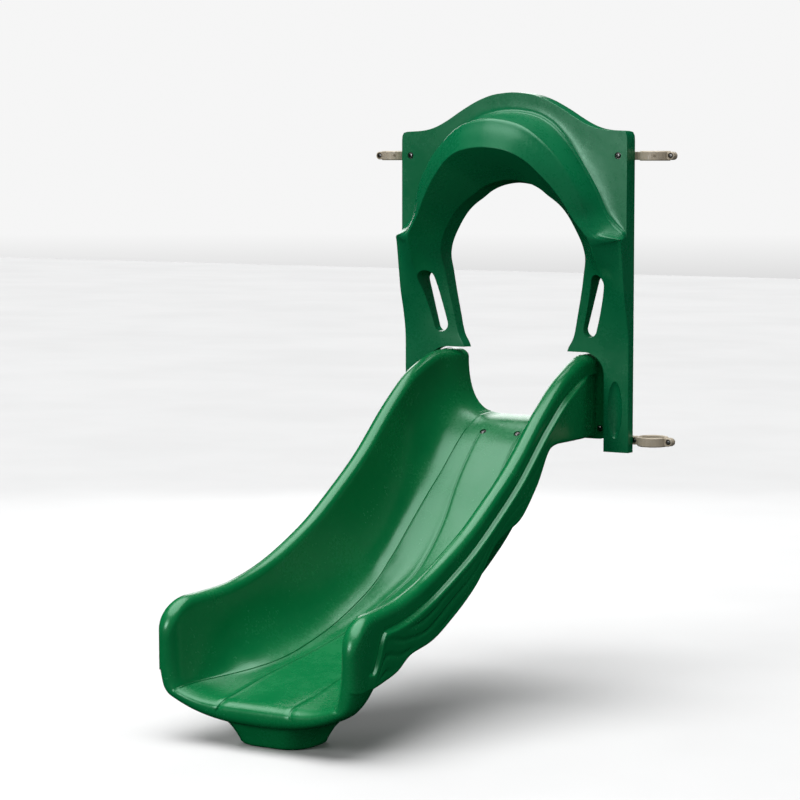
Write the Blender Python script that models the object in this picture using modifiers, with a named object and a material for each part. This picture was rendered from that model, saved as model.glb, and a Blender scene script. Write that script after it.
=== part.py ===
"""Wave slide for a 36 inch playground deck: moulded bed, moulded hood, post clamps and bolts.

Metres, +Z up.  The origin is the middle of the foot's base on the ground, and the slide
comes down from the deck at +Y to its exit at -Y.  "Run" is the distance from the line of
the two posts towards the exit, so Y = FOOT_RUN - run.
"""
from math import atan2, cos, pi, radians, sin, sqrt

import bmesh
import bpy
from mathutils import Matrix, Vector

# ---------------------------------------------------------------- driving dimensions
FOOT_RUN = 1.510            # posts' line to the middle of the foot
EXIT_RUN = 1.680            # posts' line to the tip of the exit
POST_SPACING = 1.067        # between the two post centres
POST_DIAMETER = 0.0889

SKIN = 0.0065               # wall of the hollow mouldings
GAP = 0.0003                # left between pieces that touch

# Heights and half widths of the slide bed, each as (run, value) pairs.
BED_HEIGHT = ((0.0, 0.925), (0.08, 0.915), (0.17, 0.858), (0.28, 0.750), (0.40, 0.610),
              (0.50, 0.508), (0.60, 0.430), (0.70, 0.378), (0.80, 0.337), (0.90, 0.301),
              (1.00, 0.271), (1.20, 0.228), (1.40, 0.193), (1.55, 0.164), (1.70, 0.142))
RIM_HEIGHT = ((0.0, 1.157), (0.08, 1.155), (0.25, 1.100), (0.40, 1.000), (0.60, 0.830),
              (0.73, 0.740), (0.95, 0.610), (1.25, 0.492), (1.40, 0.462), (1.70, 0.445))
INNER_WALL = ((0.0, 0.218), (0.05, 0.236), (0.12, 0.262), (0.30, 0.275), (1.00, 0.277),
              (1.35, 0.294), (1.68, 0.318))
OUTER_WALL = ((0.0, 0.322), (0.12, 0.326), (0.30, 0.333), (1.00, 0.337), (1.35, 0.352),
              (1.60, 0.378), (1.68, 0.386))
CREASE = ((0.0, 0.125), (0.15, 0.138), (0.30, 0.149), (0.40, 0.168), (0.50, 0.174),
          (0.60, 0.170), (0.80, 0.158), (1.00, 0.158), (1.20, 0.157), (1.30, 0.165),
          (1.40, 0.192), (1.50, 0.245), (1.60, 0.288), (1.70, 0.297))
CREASE_RISE = ((0.0, 0.006), (0.15, 0.010), (0.30, 0.020), (0.50, 0.042), (0.60, 0.044),
               (0.70, 0.031), (0.85, 0.021), (1.10, 0.010), (1.30, 0.008), (1.45, 0.012),
               (1.60, 0.022), (1.70, 0.028))
CREASE_SLOPE = ((0.0, 0.25), (1.20, 0.30), (1.70, 1.30))     # of the wall, where it leaves the crease
BELLY_DEPTH = ((0.0, 0.030), (0.10, 0.034), (0.45, 0.030), (1.35, 0.032), (1.62, 0.080),
               (1.70, 0.072))
CREASE_DEPTH = ((0.0, 0.026), (0.20, 0.024), (0.45, 0.014), (1.25, 0.014), (1.40, 0.026),
                (1.62, 0.050), (1.70, 0.045))
GROOVE = ((0.0, 0.070), (0.15, 0.078), (0.30, 0.080), (0.45, 0.066), (0.60, 0.065),
          (0.75, 0.084), (1.00, 0.097), (1.25, 0.116), (1.50, 0.133), (1.70, 0.129))
SKIRT_HEIGHT = ((0.0, 0.868), (0.34, 0.868), (0.40, 0.858), (0.50, 0.735), (0.62, 0.629),
                (0.69, 0.605), (0.78, 0.565), (0.90, 0.454), (1.04, 0.372), (1.20, 0.308),
                (1.33, 0.288), (1.43, 0.246), (1.57, 0.224), (1.70, 0.216))
SKIRT_PROUD = ((0.0, -0.010), (0.06, -0.008), (0.14, 0.012), (0.30, 0.018), (1.40, 0.017),
               (1.66, 0.002), (1.70, 0.001))       # how far the skirt stands outside the rim
SHELF = ((0.0, 0.012), (1.40, 0.012), (1.62, 0.001), (1.70, 0.0))   # its inner step

ROLL = 0.030                # the rim's rounding, top to bottom
NOSE_RUN = 1.625            # where the exit starts to round over
NOSE_FALL = 1.550           # where the rim starts to fall towards the exit
NOSE_TOP = 0.330            # height of the foremost line's upper end
NOSE_FLAT = 0.045           # share of the wall left at the very tip
NOSE_POWER = 2.5            # 2 would be an ellipse; more is squarer

FLANGE_THICK = 0.014        # plate that bolts to the deck's edge
FLANGE_HALF = 0.349
FLANGE_BOTTOM = 0.855
FLANGE_BOLT = (0.331, 0.893)      # x, z
BED_BOLT = (0.070, 0.152)         # x, run

# The foot, from the ground up: (height, half width, half length).
FOOT = ((0.0, 0.119, 0.099), (0.004, 0.126, 0.106), (0.012, 0.130, 0.110), (0.050, 0.148, 0.124),
        (0.088, 0.182, 0.142))
FOOT_ROOT = 0.020           # how far its top ends below the sliding face

# Hood: a flat panel with an arched visor and two hand-hold columns.
PANEL_BACK = 0.015          # runs
PANEL_FRONT = 0.075
LEG_FRONT = 0.055
PANEL_HALF = 0.4626
HOOD_BOTTOM = 0.815
PANEL_BOLT_X = 0.426
UPPER_CLAMP_Z = 1.857
LOWER_CLAMP_Z = 0.857
VISOR_HUB = 1.450           # height of the arch's centre
NOTCH_ANGLE = 13.8          # where the visor meets the panel's side, seen from the hub
CLEARANCE_HALF = 0.366      # cut-out for the slide bed between the legs
CLEARANCE_TOP = 1.164
CLEARANCE_RADIUS = 0.080
HANDHOLD_TOP = (0.352, 1.410)     # x, z of the slot's two centres
HANDHOLD_LOW = (0.308, 1.245)
HANDHOLD_RADIUS = 0.027

RECESS = (0.410, 0.965)           # x, z of the oval dish in each leg
RECESS_HALF = (0.028, 0.100)
RECESS_DEPTH = 0.010
DECK_PLATE = 0.006          # steel edge of the deck, between the flange and its nuts

# Outline of the panel's top, as (x, z).
PANEL_TOP = ((PANEL_HALF, 1.925), (0.455, 1.940), (0.440, 1.944), (0.370, 1.946),
             (0.320, 1.958), (0.267, 1.984), (0.208, 2.020), (0.142, 2.054),
             (0.080, 2.075), (0.0, 2.083))
# The arch's edges, as (angle above the hub, distance from it, run).
RIDGE = ((13.8, 0.4765, 0.117), (15.2, 0.475, 0.092), (22.6, 0.443, 0.090), (28.6, 0.434, 0.090),
         (39.4, 0.447, 0.090), (49.5, 0.465, 0.090), (58.0, 0.490, 0.090), (65.0, 0.515, 0.091),
         (72.3, 0.541, 0.092), (79.8, 0.556, 0.093), (90.0, 0.560, 0.094))
VISOR_OUT = ((0.0, 0.4626, 0.101), (7.0, 0.4661, 0.109), (13.8, 0.4762, 0.120),
             (16.7, 0.4385, 0.150), (19.7, 0.414, 0.160), (24.1, 0.404, 0.168),
             (28.2, 0.403, 0.172), (37.8, 0.424, 0.185), (51.2, 0.460, 0.200),
             (65.0, 0.497, 0.216), (78.0, 0.529, 0.232), (90.0, 0.538, 0.240))
VISOR_IN = ((0.0, 0.383, 0.115), (8.1, 0.381, 0.153), (17.5, 0.388, 0.185), (22.8, 0.379, 0.195),
            (31.9, 0.371, 0.207), (45.0, 0.383, 0.226), (57.8, 0.402, 0.250), (68.9, 0.425, 0.270),
            (78.0, 0.435, 0.284), (90.0, 0.437, 0.290))
TUNNEL = ((0.0, 0.288, 0.062), (12.0, 0.303, 0.074), (19.1, 0.305, 0.080), (29.6, 0.304, 0.085),
          (48.3, 0.308, 0.085), (58.8, 0.307, 0.085), (67.5, 0.314, 0.085), (77.4, 0.319, 0.085),
          (90.0, 0.322, 0.085))
# The columns below the hub, as (height, x or run).
COLUMN_FRONT = ((0.815, 0.052), (1.17, 0.052), (1.214, 0.054), (1.30, 0.070), (1.363, 0.087),
                (1.45, 0.101))
COLUMN_CREASE_X = ((0.815, 0.300), (1.17, 0.306), (1.265, 0.345), (1.34, 0.372), (1.385, 0.381),
                   (1.45, 0.383))
COLUMN_CREASE_RUN = ((0.815, 0.052), (1.17, 0.052), (1.265, 0.055), (1.33, 0.066), (1.385, 0.082),
                     (1.45, 0.115))
COLUMN_INNER_X = ((0.815, 0.200), (1.17, 0.213), (1.205, 0.236), (1.30, 0.258), (1.385, 0.276),
                  (1.45, 0.288))
COLUMN_INNER_RUN = ((0.815, 0.045), (1.205, 0.045), (1.30, 0.049), (1.385, 0.055), (1.45, 0.062))

# Post clamps and hardware.
RING_INNER = POST_DIAMETER / 2 + 0.0006
RING_OUTER = 0.0555
RING_HEIGHT = 0.034
EAR_OFFSET = 0.067          # lower clamps' bolts, from the post's axis
UPPER_EAR_OFFSET = 0.066
POST_HOLE_TURN = 25.0       # degrees from straight ahead, of the upper clamps' set-screw holes
EAR_RADIUS = 0.0145
SPLIT = 0.0010              # half the gap between the clamp's halves
BOLT_RADIUS = 0.0050        # M10
HOLE_RADIUS = 0.0056
HEAD_RADIUS = 0.0092
HEAD_HEIGHT = 0.0055
WASHER_RADIUS = 0.0112
WASHER_THICK = 0.0020
NUT_ACROSS = 0.0170
NUT_HEIGHT = 0.0084
SIDES = 16                  # facets round a bolt

HEAD = ((0.0, 0.0030), (0.0030, 0.0030), (0.0030, 0.0055), (0.0060, 0.0050), (0.0085, 0.0028),
        (HEAD_RADIUS, 0.0008), (HEAD_RADIUS, 0.0))     # bolt head, as (radius, height)

GREEN = (0.006, 0.225, 0.062)
HOOD_GREEN = (0.006, 0.150, 0.052)
TAN = (0.546, 0.473, 0.352)
STEEL = (0.180, 0.180, 0.180)


# ---------------------------------------------------------------- reading the tables
def along(pairs, at):
    """Read a table at one place, with a smooth curve that never overshoots its pairs."""
    at = min(max(at, pairs[0][0]), pairs[-1][0])
    rises = [(b[1] - a[1]) / (b[0] - a[0]) for a, b in zip(pairs, pairs[1:])]
    slopes = [rises[0]]
    for before, after in zip(rises, rises[1:]):
        steady = before * after > 0.0
        slopes.append(2.0 * before * after / (before + after) if steady else 0.0)
    slopes.append(rises[-1])
    index = 0
    while at > pairs[index + 1][0]:
        index += 1
    (left, low), (right, high) = pairs[index], pairs[index + 1]
    width = right - left
    t = (at - left) / width
    start = low * (1.0 + 2.0 * t) + slopes[index] * width * t
    finish = high * (3.0 - 2.0 * t) - slopes[index + 1] * width * (1.0 - t)
    return start * (1.0 - t) ** 2 + finish * t ** 2


def edge(table, angle):
    """Distance from the hub and run of one of the arch's edges."""
    reach = along([(row[0], row[1]) for row in table], angle)
    run = along([(row[0], row[2]) for row in table], angle)
    return Vector((reach, run))


def point(x, run, z):
    return Vector((x, FOOT_RUN - run, z))


# ---------------------------------------------------------------- making objects
def material(name, colour, roughness, metallic):
    made = bpy.data.materials.new(name)
    made.use_nodes = True
    shader = made.node_tree.nodes["Principled BSDF"]
    shader.inputs["Base Color"].default_value = (*colour, 1.0)
    shader.inputs["Roughness"].default_value = roughness
    shader.inputs["Metallic"].default_value = metallic
    made.diffuse_color = (*colour, 1.0)
    return made


def add_object(name, mesh, made_of=None):
    """Put a mesh in the slide's collection, or with the cutters when it has no material."""
    item = bpy.data.objects.new(name, mesh)
    if made_of is None:
        cutters.objects.link(item)
        item.hide_render = True
        item.display_type = "WIRE"
    else:
        slide.objects.link(item)
        mesh.materials.append(made_of)
    return item


def finish_mesh(name, draft, crease_degrees=32.0):
    """Turn a draft outwards, shade it smooth but for its sharp edges, and keep it."""
    bmesh.ops.recalc_face_normals(draft, faces=draft.faces)
    if draft.calc_volume(signed=True) < 0.0:
        bmesh.ops.reverse_faces(draft, faces=draft.faces)
    mesh = bpy.data.meshes.new(name)
    draft.to_mesh(mesh)
    draft.free()
    mesh.shade_smooth()
    mesh.set_sharp_from_angle(angle=radians(crease_degrees))
    return mesh


def half_loft(rings, closed, caps):
    """Skin a row of rings, which stand open at x = 0 where the Mirror modifier joins them."""
    draft = bmesh.new()
    rows = [[draft.verts.new(place) for place in ring] for ring in rings]
    count = len(rings[0])
    for first, second in zip(rows, rows[1:]):
        for i in range(count if closed else count - 1):
            j = (i + 1) % count
            draft.faces.new((first[i], first[j], second[j], second[i]))
    if "start" in caps:
        draft.faces.new(rows[0])
    if "end" in caps:
        draft.faces.new(rows[-1])
    return draft


def mirror(item):
    """Complete a half that stands open at x = 0."""
    joined = item.modifiers.new("Mirror", "MIRROR")
    joined.use_axis[0] = True
    joined.use_mirror_merge = True
    joined.merge_threshold = 0.0001


def boolean(item, other, operation):
    cut = item.modifiers.new("Boolean", "BOOLEAN")
    cut.operation = operation
    cut.solver = "EXACT"
    cut.object = other


def slab(name, outline, thickness, made_of=None, bevel=0.0):
    """A flat outline in its own XY plane, thickened evenly to both sides."""
    draft = bmesh.new()
    draft.faces.new([draft.verts.new((x, y, 0.0)) for x, y in outline])
    mesh = bpy.data.meshes.new(name)
    draft.to_mesh(mesh)
    draft.free()
    mesh.shade_smooth()
    item = add_object(name, mesh, made_of)
    thick = item.modifiers.new("Solidify", "SOLIDIFY")
    thick.thickness = thickness
    thick.offset = 0.0
    if bevel > 0.0:
        rounded = item.modifiers.new("Bevel", "BEVEL")
        rounded.width = bevel
        rounded.segments = 1
        rounded.limit_method = "ANGLE"
        rounded.angle_limit = radians(50.0)
    return item


def rod(name, radius, length, place, turn=0.0, segments=SIDES):
    """A cylinder cutter lying along Y, or turned about X from there."""
    draft = bmesh.new()
    bmesh.ops.create_cone(draft, cap_ends=True, segments=segments, radius1=radius, radius2=radius,
                          depth=length)
    item = add_object(name, finish_mesh(name, draft))
    item.location = place
    item.rotation_euler = (pi / 2 + turn, 0.0, 0.0)
    return item


def turned(name, profile, made_of, place, turn):
    """Spin a profile of (radius, height) pairs about its own Z, then lay it down."""
    draft = bmesh.new()
    corners = [draft.verts.new((radius, 0.0, height)) for radius, height in profile]
    for first, second in zip(corners, corners[1:]):
        draft.edges.new((first, second))
    mesh = bpy.data.meshes.new(name)
    draft.to_mesh(mesh)
    draft.free()
    item = add_object(name, mesh, made_of)
    spun = item.modifiers.new("Screw", "SCREW")
    spun.axis = "Z"
    spun.angle = 2.0 * pi
    spun.steps = SIDES
    spun.render_steps = SIDES
    spun.use_merge_vertices = True
    spun.merge_threshold = 0.00005
    spun.use_smooth_shade = True
    item.location = place
    item.rotation_euler = turn
    return item


def arc(centre, radius, start, finish, count):
    """Points on an arc, angles in degrees."""
    marks = []
    for i in range(count + 1):
        angle = radians(start + (finish - start) * i / count)
        marks.append((centre[0] + radius * cos(angle), centre[1] + radius * sin(angle)))
    return marks


# ---------------------------------------------------------------- slide bed
def bed_height(run):
    return along(BED_HEIGHT, run)


def rim_height(run):
    """Height of the rim's crest, which falls along an ellipse into the exit."""
    height = along(RIM_HEIGHT, run)
    if run <= NOSE_FALL:
        return height
    level = along(RIM_HEIGHT, NOSE_FALL)
    share = (run - NOSE_FALL) / (EXIT_RUN - NOSE_FALL)
    return NOSE_TOP + (level - NOSE_TOP) * sqrt(max(0.0, 1.0 - share * share))


def wall_frame(run):
    """The four Bezier handles of the inner wall, from the crease up to the rim's roll."""
    low = Vector((along(CREASE, run), bed_height(run) + along(CREASE_RISE, run)))
    top = Vector((along(INNER_WALL, run), rim_height(run) - ROLL))
    leave = Vector((1.0, along(CREASE_SLOPE, run))).normalized()
    low_handle = low + leave * min(0.070, 0.75 * (top.x - low.x))
    top_handle = top - Vector((0.0, 0.50 * (top.y - low.y)))
    return low, low_handle, top_handle, top


def wall_point(frame, t):
    """Place on the inner wall and the way it faces away from the trough."""
    a, b, c, d = frame
    u = 1.0 - t
    place = a * u ** 3 + b * (3.0 * u * u * t) + c * (3.0 * u * t * t) + d * t ** 3
    way = (b - a) * (u * u) + (c - b) * (2.0 * u * t) + (d - c) * (t * t)
    away = Vector((way.y, -way.x)).normalized()
    return place, away


def inner_path(run):
    """Top of the bed from its middle to the rim's crest, as (x, z)."""
    height = bed_height(run)
    groove = along(GROOVE, run)
    frame = wall_frame(run)
    crease = frame[0]
    path = [(0.0, height), (groove - 0.006, height), (groove, height - 0.0030),
            (groove + 0.006, height)]
    for share in (0.35, 0.60, 0.82):
        x = groove + (crease.x - groove) * share
        path.append((x, height + (crease.y - height) * share ** 2.5))
    path.append(tuple(crease))
    for t in (0.12, 0.26, 0.40, 0.54, 0.68, 0.84, 1.0):
        path.append(tuple(wall_point(frame, t)[0]))
    middle, half = rim_middle(run)
    for angle in (150.0, 120.0):
        path.append((middle + half * cos(radians(angle)),
                     rim_height(run) - ROLL + ROLL * sin(radians(angle))))
    return path


def rim_middle(run):
    """Middle and half width of the rim."""
    inner = along(INNER_WALL, run)
    outer = along(OUTER_WALL, run)
    return (inner + outer) / 2.0, (outer - inner) / 2.0


def outer_path(run):
    """Underside from its middle out to the rim's crest, as (x, z)."""
    middle, half = rim_middle(run)
    crest = rim_height(run)
    outer = middle + half
    proud = along(SKIRT_PROUD, run)
    skirt = outer + proud
    low = along(SKIRT_HEIGHT, run)
    step = max(0.0, proud)
    path = [(middle + half * cos(radians(angle)), crest - ROLL + ROLL * sin(radians(angle)))
            for angle in (60.0, 30.0, 0.0)]
    path += [(outer, crest - 0.058), (outer - 0.15 * step, crest - 0.065),
             (outer + 0.70 * proud, crest - 0.074), (skirt, crest - 0.084)]
    path += [(skirt, (crest - 0.084 + low) / 2.0), (skirt - 0.04 * step, low + 0.010)]

    # The wall's far side, parallel to the wall; the skirt hangs outside it.
    frame = wall_frame(run)
    wide = outer - along(INNER_WALL, run) - along(SHELF, run)
    deep = along(CREASE_DEPTH, run)

    def far_side(t):
        place, away = wall_point(frame, t)
        down = deep + (wide - deep) * t if deep < wide else deep
        return place.x + away.x * (down + (wide - down) * t), place.y + away.y * down

    above, below = 1.0, 0.0
    for _ in range(30):
        guess = (above + below) / 2.0
        if far_side(guess)[1] > low + 0.005:
            above = guess
        else:
            below = guess
    start = max(above, 0.03)
    foot_in = max(far_side(start)[0], skirt - 0.034)
    path += [(skirt - 0.40 * step, low), (foot_in + 0.25 * step, low + 0.0005)]
    for share in (1.0, 0.70, 0.40, 0.0):
        path.append(far_side(start * share))
    floor = bed_height(run) - along(BELLY_DEPTH, run)
    edge_x, edge_z = far_side(0.0)
    lift = 0.30 * min(1.0, max(0.0, (run - 1.40) / 0.20)) * (edge_z - floor)
    path += [(edge_x * 0.62, floor + lift), (0.0, floor)]
    return path[::-1]


def flange_path(run):
    """Outline of the plate that bolts to the deck's edge, from its middle to the crest."""
    inner = along(INNER_WALL, run)
    middle = (inner + FLANGE_HALF) / 2.0
    half = FLANGE_HALF - middle
    crest = rim_height(run)
    path = [(middle + half * cos(radians(angle)), crest - ROLL + ROLL * sin(radians(angle)))
            for angle in (60.0, 30.0, 0.0)]
    high, low = crest - ROLL, FLANGE_BOTTOM + 0.020
    path += [(FLANGE_HALF, high + (low - high) * share) for share in (0.2, 0.4, 0.6, 0.8, 1.0)]
    path += [(FLANGE_HALF - 0.006, FLANGE_BOTTOM + 0.006), (FLANGE_HALF - 0.020, FLANGE_BOTTOM)]
    path += [(FLANGE_HALF * share, FLANGE_BOTTOM)
             for share in (0.82, 0.68, 0.54, 0.42, 0.30, 0.15, 0.0)]
    return path[::-1]


def rim_crest(run, flange=False):
    inner = along(INNER_WALL, run)
    outer = FLANGE_HALF if flange else along(OUTER_WALL, run)
    return (inner + outer) / 2.0, rim_height(run)


def spread(path, shares):
    """Points at given shares of a path's length."""
    marks = [0.0]
    for a, b in zip(path, path[1:]):
        marks.append(marks[-1] + (Vector(b) - Vector(a)).length)
    found = []
    for share in shares:
        want = share * marks[-1]
        index = 0
        while index < len(path) - 2 and want > marks[index + 1]:
            index += 1
        part = (want - marks[index]) / (marks[index + 1] - marks[index])
        found.append(Vector(path[index]).lerp(Vector(path[index + 1]), part))
    return found


def shares_of(path):
    marks = [0.0]
    for a, b in zip(path, path[1:]):
        marks.append(marks[-1] + (Vector(b) - Vector(a)).length)
    return [mark / marks[-1] for mark in marks]


def bed_ring(run, flange=False):
    """One half section of the slide bed, from the middle of its top round to its underside."""
    inner = inner_path(run)
    outer = flange_path(run) if flange else outer_path(run)
    crest = rim_crest(run, flange)
    if run < NOSE_RUN - 0.0001:
        flat = inner + [crest] + outer[::-1]
        return [point(x, run, z) for x, z in flat]
    share = (run - NOSE_RUN) / (EXIT_RUN - NOSE_RUN)
    keep = max(max(0.0, 1.0 - share ** NOSE_POWER) ** (1.0 / NOSE_POWER), NOSE_FLAT)
    upper = [Vector(place) for place in inner]
    under = spread(outer + [crest], shares_of(inner + [crest])[:-1])
    for index, (top, bottom) in enumerate(zip(list(upper), list(under))):
        middle = (top + bottom) / 2.0
        upper[index] = middle + (top - middle) * keep
        under[index] = middle + (bottom - middle) * keep
    flat = upper + [Vector(crest)] + under[::-1]
    return [point(place[0], run, place[1]) for place in flat]


def bed_surface_normal(run):
    """Upward normal of the sliding face on its centre line."""
    rise = (bed_height(run + 0.002) - bed_height(run - 0.002)) / 0.004
    return Vector((0.0, rise, 1.0)).normalized()


def bed_bolt_turn(normal):
    return (atan2(-normal.y, normal.z), 0.0, 0.0)


def make_bed():
    rings = [bed_ring(0.0, flange=True), bed_ring(FLANGE_THICK, flange=True)]
    runs = [FLANGE_THICK, 0.040, 0.070, 0.095, 0.120, 0.150, 0.185, 0.230, 0.280,
            0.340, 0.370, 0.400, 0.450, 0.500, 0.560, 0.620, 0.690, 0.735, 0.780, 0.840,
            0.900, 0.970, 1.040, 1.120, 1.200, 1.265, 1.330, 1.380, 1.430, 1.500, 1.570,
            1.610, NOSE_RUN]
    length = EXIT_RUN - NOSE_RUN
    runs += [NOSE_RUN + length * sin(radians(turn)) for turn in (20.0, 38.0, 54.0, 68.0, 79.0)]
    runs.append(EXIT_RUN)
    rings += [bed_ring(run) for run in runs]
    bed = add_object("slide_bed", finish_mesh("slide_bed", half_loft(rings, False, "start end")),
                     bed_green)
    mirror(bed)

    foot_rings = []
    for height, half_width, half_length in FOOT:
        foot_rings.append(foot_outline(height, half_width, half_length))
    top = foot_outline(0.0, 0.186, 0.146)
    for place in top:
        place.z = bed_height(FOOT_RUN - place.y) - FOOT_ROOT
    foot_rings.append(top)
    foot = add_object("foot_root",
                      finish_mesh("foot_root", half_loft(foot_rings, True, "start end")))
    boolean(bed, foot, "UNION")

    for side in (-1, 1):
        hole = rod("flange_hole", HOLE_RADIUS, 0.06,
                   point(side * FLANGE_BOLT[0], FLANGE_THICK / 2, FLANGE_BOLT[1]))
        boolean(bed, hole, "DIFFERENCE")
        across, run = BED_BOLT
        normal = bed_surface_normal(run)
        spot = point(side * across, run, bed_height(run))
        for radius, middle, length in ((HOLE_RADIUS, -0.020, 0.100), (0.0125, 0.018, 0.050)):
            hole = rod("bed_hole", radius, length, spot + normal * middle)
            hole.rotation_euler = bed_bolt_turn(normal)
            boolean(bed, hole, "DIFFERENCE")
    return bed


def foot_outline(height, half_width, half_length):
    """Rounded rectangle round the foot's middle."""
    corner = 0.078
    ring = []
    for centre_x, centre_y, start in ((1, 1, 0.0), (-1, 1, 90.0), (-1, -1, 180.0),
                                      (1, -1, 270.0)):
        centre = (centre_x * (half_width - corner), centre_y * (half_length - corner))
        for x, y in arc(centre, corner, start, start + 90.0, 5):
            ring.append(Vector((x, y, height)))
    return ring


# ---------------------------------------------------------------- hood
def panel_reach(angle):
    """Distance from the hub to the panel's outline."""
    way = Vector((cos(radians(angle)), sin(radians(angle))))
    if angle <= 45.76:
        return PANEL_HALF / way.x
    hub = Vector((0.0, VISOR_HUB))
    for a, b in zip(PANEL_TOP, PANEL_TOP[1:]):
        start = Vector(a) - hub
        step = Vector(b) - Vector(a)
        across = way.x * step.y - way.y * step.x
        if abs(across) < 1e-9:
            continue
        reach = (start.x * step.y - start.y * step.x) / across
        part = (start.x * way.y - start.y * way.x) / across
        if -1e-6 <= part <= 1.0 + 1e-6 and reach > 0.0:
            return reach
    return PANEL_TOP[-1][1] - VISOR_HUB


def toward(start, finish, distance):
    """A point a little way along from one corner to the next."""
    gap = finish - start
    return start + gap * min(distance / gap.length, 0.45)


def hood_section(side, front, crease, tunnel, ridge=None):
    """Closed section as (distance, run); without a ridge the outer corner is just rounded."""
    if ridge is None:
        section = [Vector((side, PANEL_BACK)), Vector((side, front - 0.0100)),
                   Vector((side - 0.0006, front - 0.0055)), Vector((side - 0.0020, front - 0.0025)),
                   Vector((side - 0.0050, front - 0.0006)), Vector((side - 0.0090, front))]
        corner = section[-1]
    else:
        spine, corner = ridge
        lip = 0.005
        section = [Vector((side, PANEL_BACK)), Vector((side, PANEL_FRONT - lip)),
                   Vector((side - 0.0015, PANEL_FRONT - 0.0008)),
                   Vector((min(spine.x + 0.009, side - 0.0025), PANEL_FRONT + 0.0008)),
                   spine, toward(corner, spine, 0.006)]
    section.append(toward(corner, crease, 0.006))
    bulge = (corner + crease) / 2.0
    section.append(bulge + Vector((0.0, 0.0025)))
    section += [toward(crease, corner, 0.005), toward(crease, tunnel, 0.005),
                (crease + tunnel) / 2.0, tunnel, Vector((tunnel.x - 0.012, PANEL_BACK))]
    return section


def column_ring(height):
    """Level section of a column below the arch's centre."""
    crease = Vector((along(COLUMN_CREASE_X, height), along(COLUMN_CREASE_RUN, height)))
    tunnel = Vector((along(COLUMN_INNER_X, height), along(COLUMN_INNER_RUN, height)))
    section = hood_section(PANEL_HALF, along(COLUMN_FRONT, height), crease, tunnel)
    return [point(place.x, place.y, height) for place in section]


def arch_ring(angle):
    """Section of the arch on a ray from its centre."""
    crease = edge(VISOR_IN, angle)
    tunnel = edge(TUNNEL, angle)
    corner = edge(VISOR_OUT, angle)
    side = panel_reach(angle)
    if angle <= NOTCH_ANGLE:
        section = hood_section(side, corner.y, crease, tunnel)
    else:
        section = hood_section(side, corner.y, crease, tunnel, (edge(RIDGE, angle), corner))
    ring = []
    for place in section:
        x = 0.0 if angle >= 90.0 else place.x * cos(radians(angle))
        ring.append(point(x, place.y, VISOR_HUB + place.x * sin(radians(angle))))
    return ring


def make_hood():
    rings = [column_ring(height) for height in
             (HOOD_BOTTOM, 1.000, 1.170, 1.205, 1.250, 1.300, 1.345, 1.385, 1.420)]
    rings += [arch_ring(angle) for angle in
              (0.0, 7.0, 11.0, NOTCH_ANGLE, 15.3, 17.0, 19.5, 23.0, 28.0, 34.0, 40.0, 45.76,
               47.12, 48.30, 53.30, 57.80, 63.40, 70.0, 76.8, 82.7, 90.0)]
    hood = add_object("hood", finish_mesh("hood", half_loft(rings, True, "start")), hood_green)
    mirror(hood)

    inner = CLEARANCE_HALF - CLEARANCE_RADIUS
    outline = arc((inner, CLEARANCE_TOP - CLEARANCE_RADIUS), CLEARANCE_RADIUS, 0.0, 90.0, 8)
    outline += [(-x, z) for x, z in reversed(outline)]
    outline += [(-CLEARANCE_HALF, 0.70), (CLEARANCE_HALF, 0.70)]
    boolean(hood, cutter_slab("bed_clearance", outline, 0.40), "DIFFERENCE")

    for side in (-1, 1):
        high = Vector((side * HANDHOLD_TOP[0], HANDHOLD_TOP[1]))
        low = Vector((side * HANDHOLD_LOW[0], HANDHOLD_LOW[1]))
        lean = Vector((high - low)).angle_signed(Vector((0.0, 1.0)))
        tilt = lean * 180.0 / pi
        outline = arc(high, HANDHOLD_RADIUS, tilt, 180.0 + tilt, 8)
        outline += arc(low, HANDHOLD_RADIUS, 180.0 + tilt, 360.0 + tilt, 8)
        boolean(hood, cutter_slab("handhold_slot", outline, 0.60), "DIFFERENCE")

        bolt = point(side * PANEL_BOLT_X, PANEL_FRONT, UPPER_CLAMP_Z)
        boolean(hood, rod("panel_hole", HOLE_RADIUS, 0.300, bolt), "DIFFERENCE")
        boolean(hood, rod("panel_counterbore", 0.0125, 0.0160, bolt), "DIFFERENCE")
        blind = point(side * PANEL_BOLT_X, PANEL_BACK, LOWER_CLAMP_Z)
        boolean(hood, rod("leg_insert_hole", HOLE_RADIUS, 0.056, blind), "DIFFERENCE")

        outline = []
        for x, z in arc((0.0, 0.0), 1.0, 0.0, 345.0, 23):
            outline.append((side * RECESS[0] + RECESS_HALF[0] * x,
                            RECESS[1] + RECESS_HALF[1] * z))
        recess = cutter_slab("leg_recess", outline, 0.040)
        recess.location.y = FOOT_RUN - LEG_FRONT - 0.020 + RECESS_DEPTH
        boolean(hood, recess, "DIFFERENCE")
    return hood


def cutter_slab(name, outline, depth):
    """A cutter whose outline is given as (x, z), running along Y through the hood."""
    item = slab(name, outline, depth)
    item.rotation_euler = (pi / 2, 0.0, 0.0)
    item.location = (0.0, FOOT_RUN - 0.10, 0.0)
    return item


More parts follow.
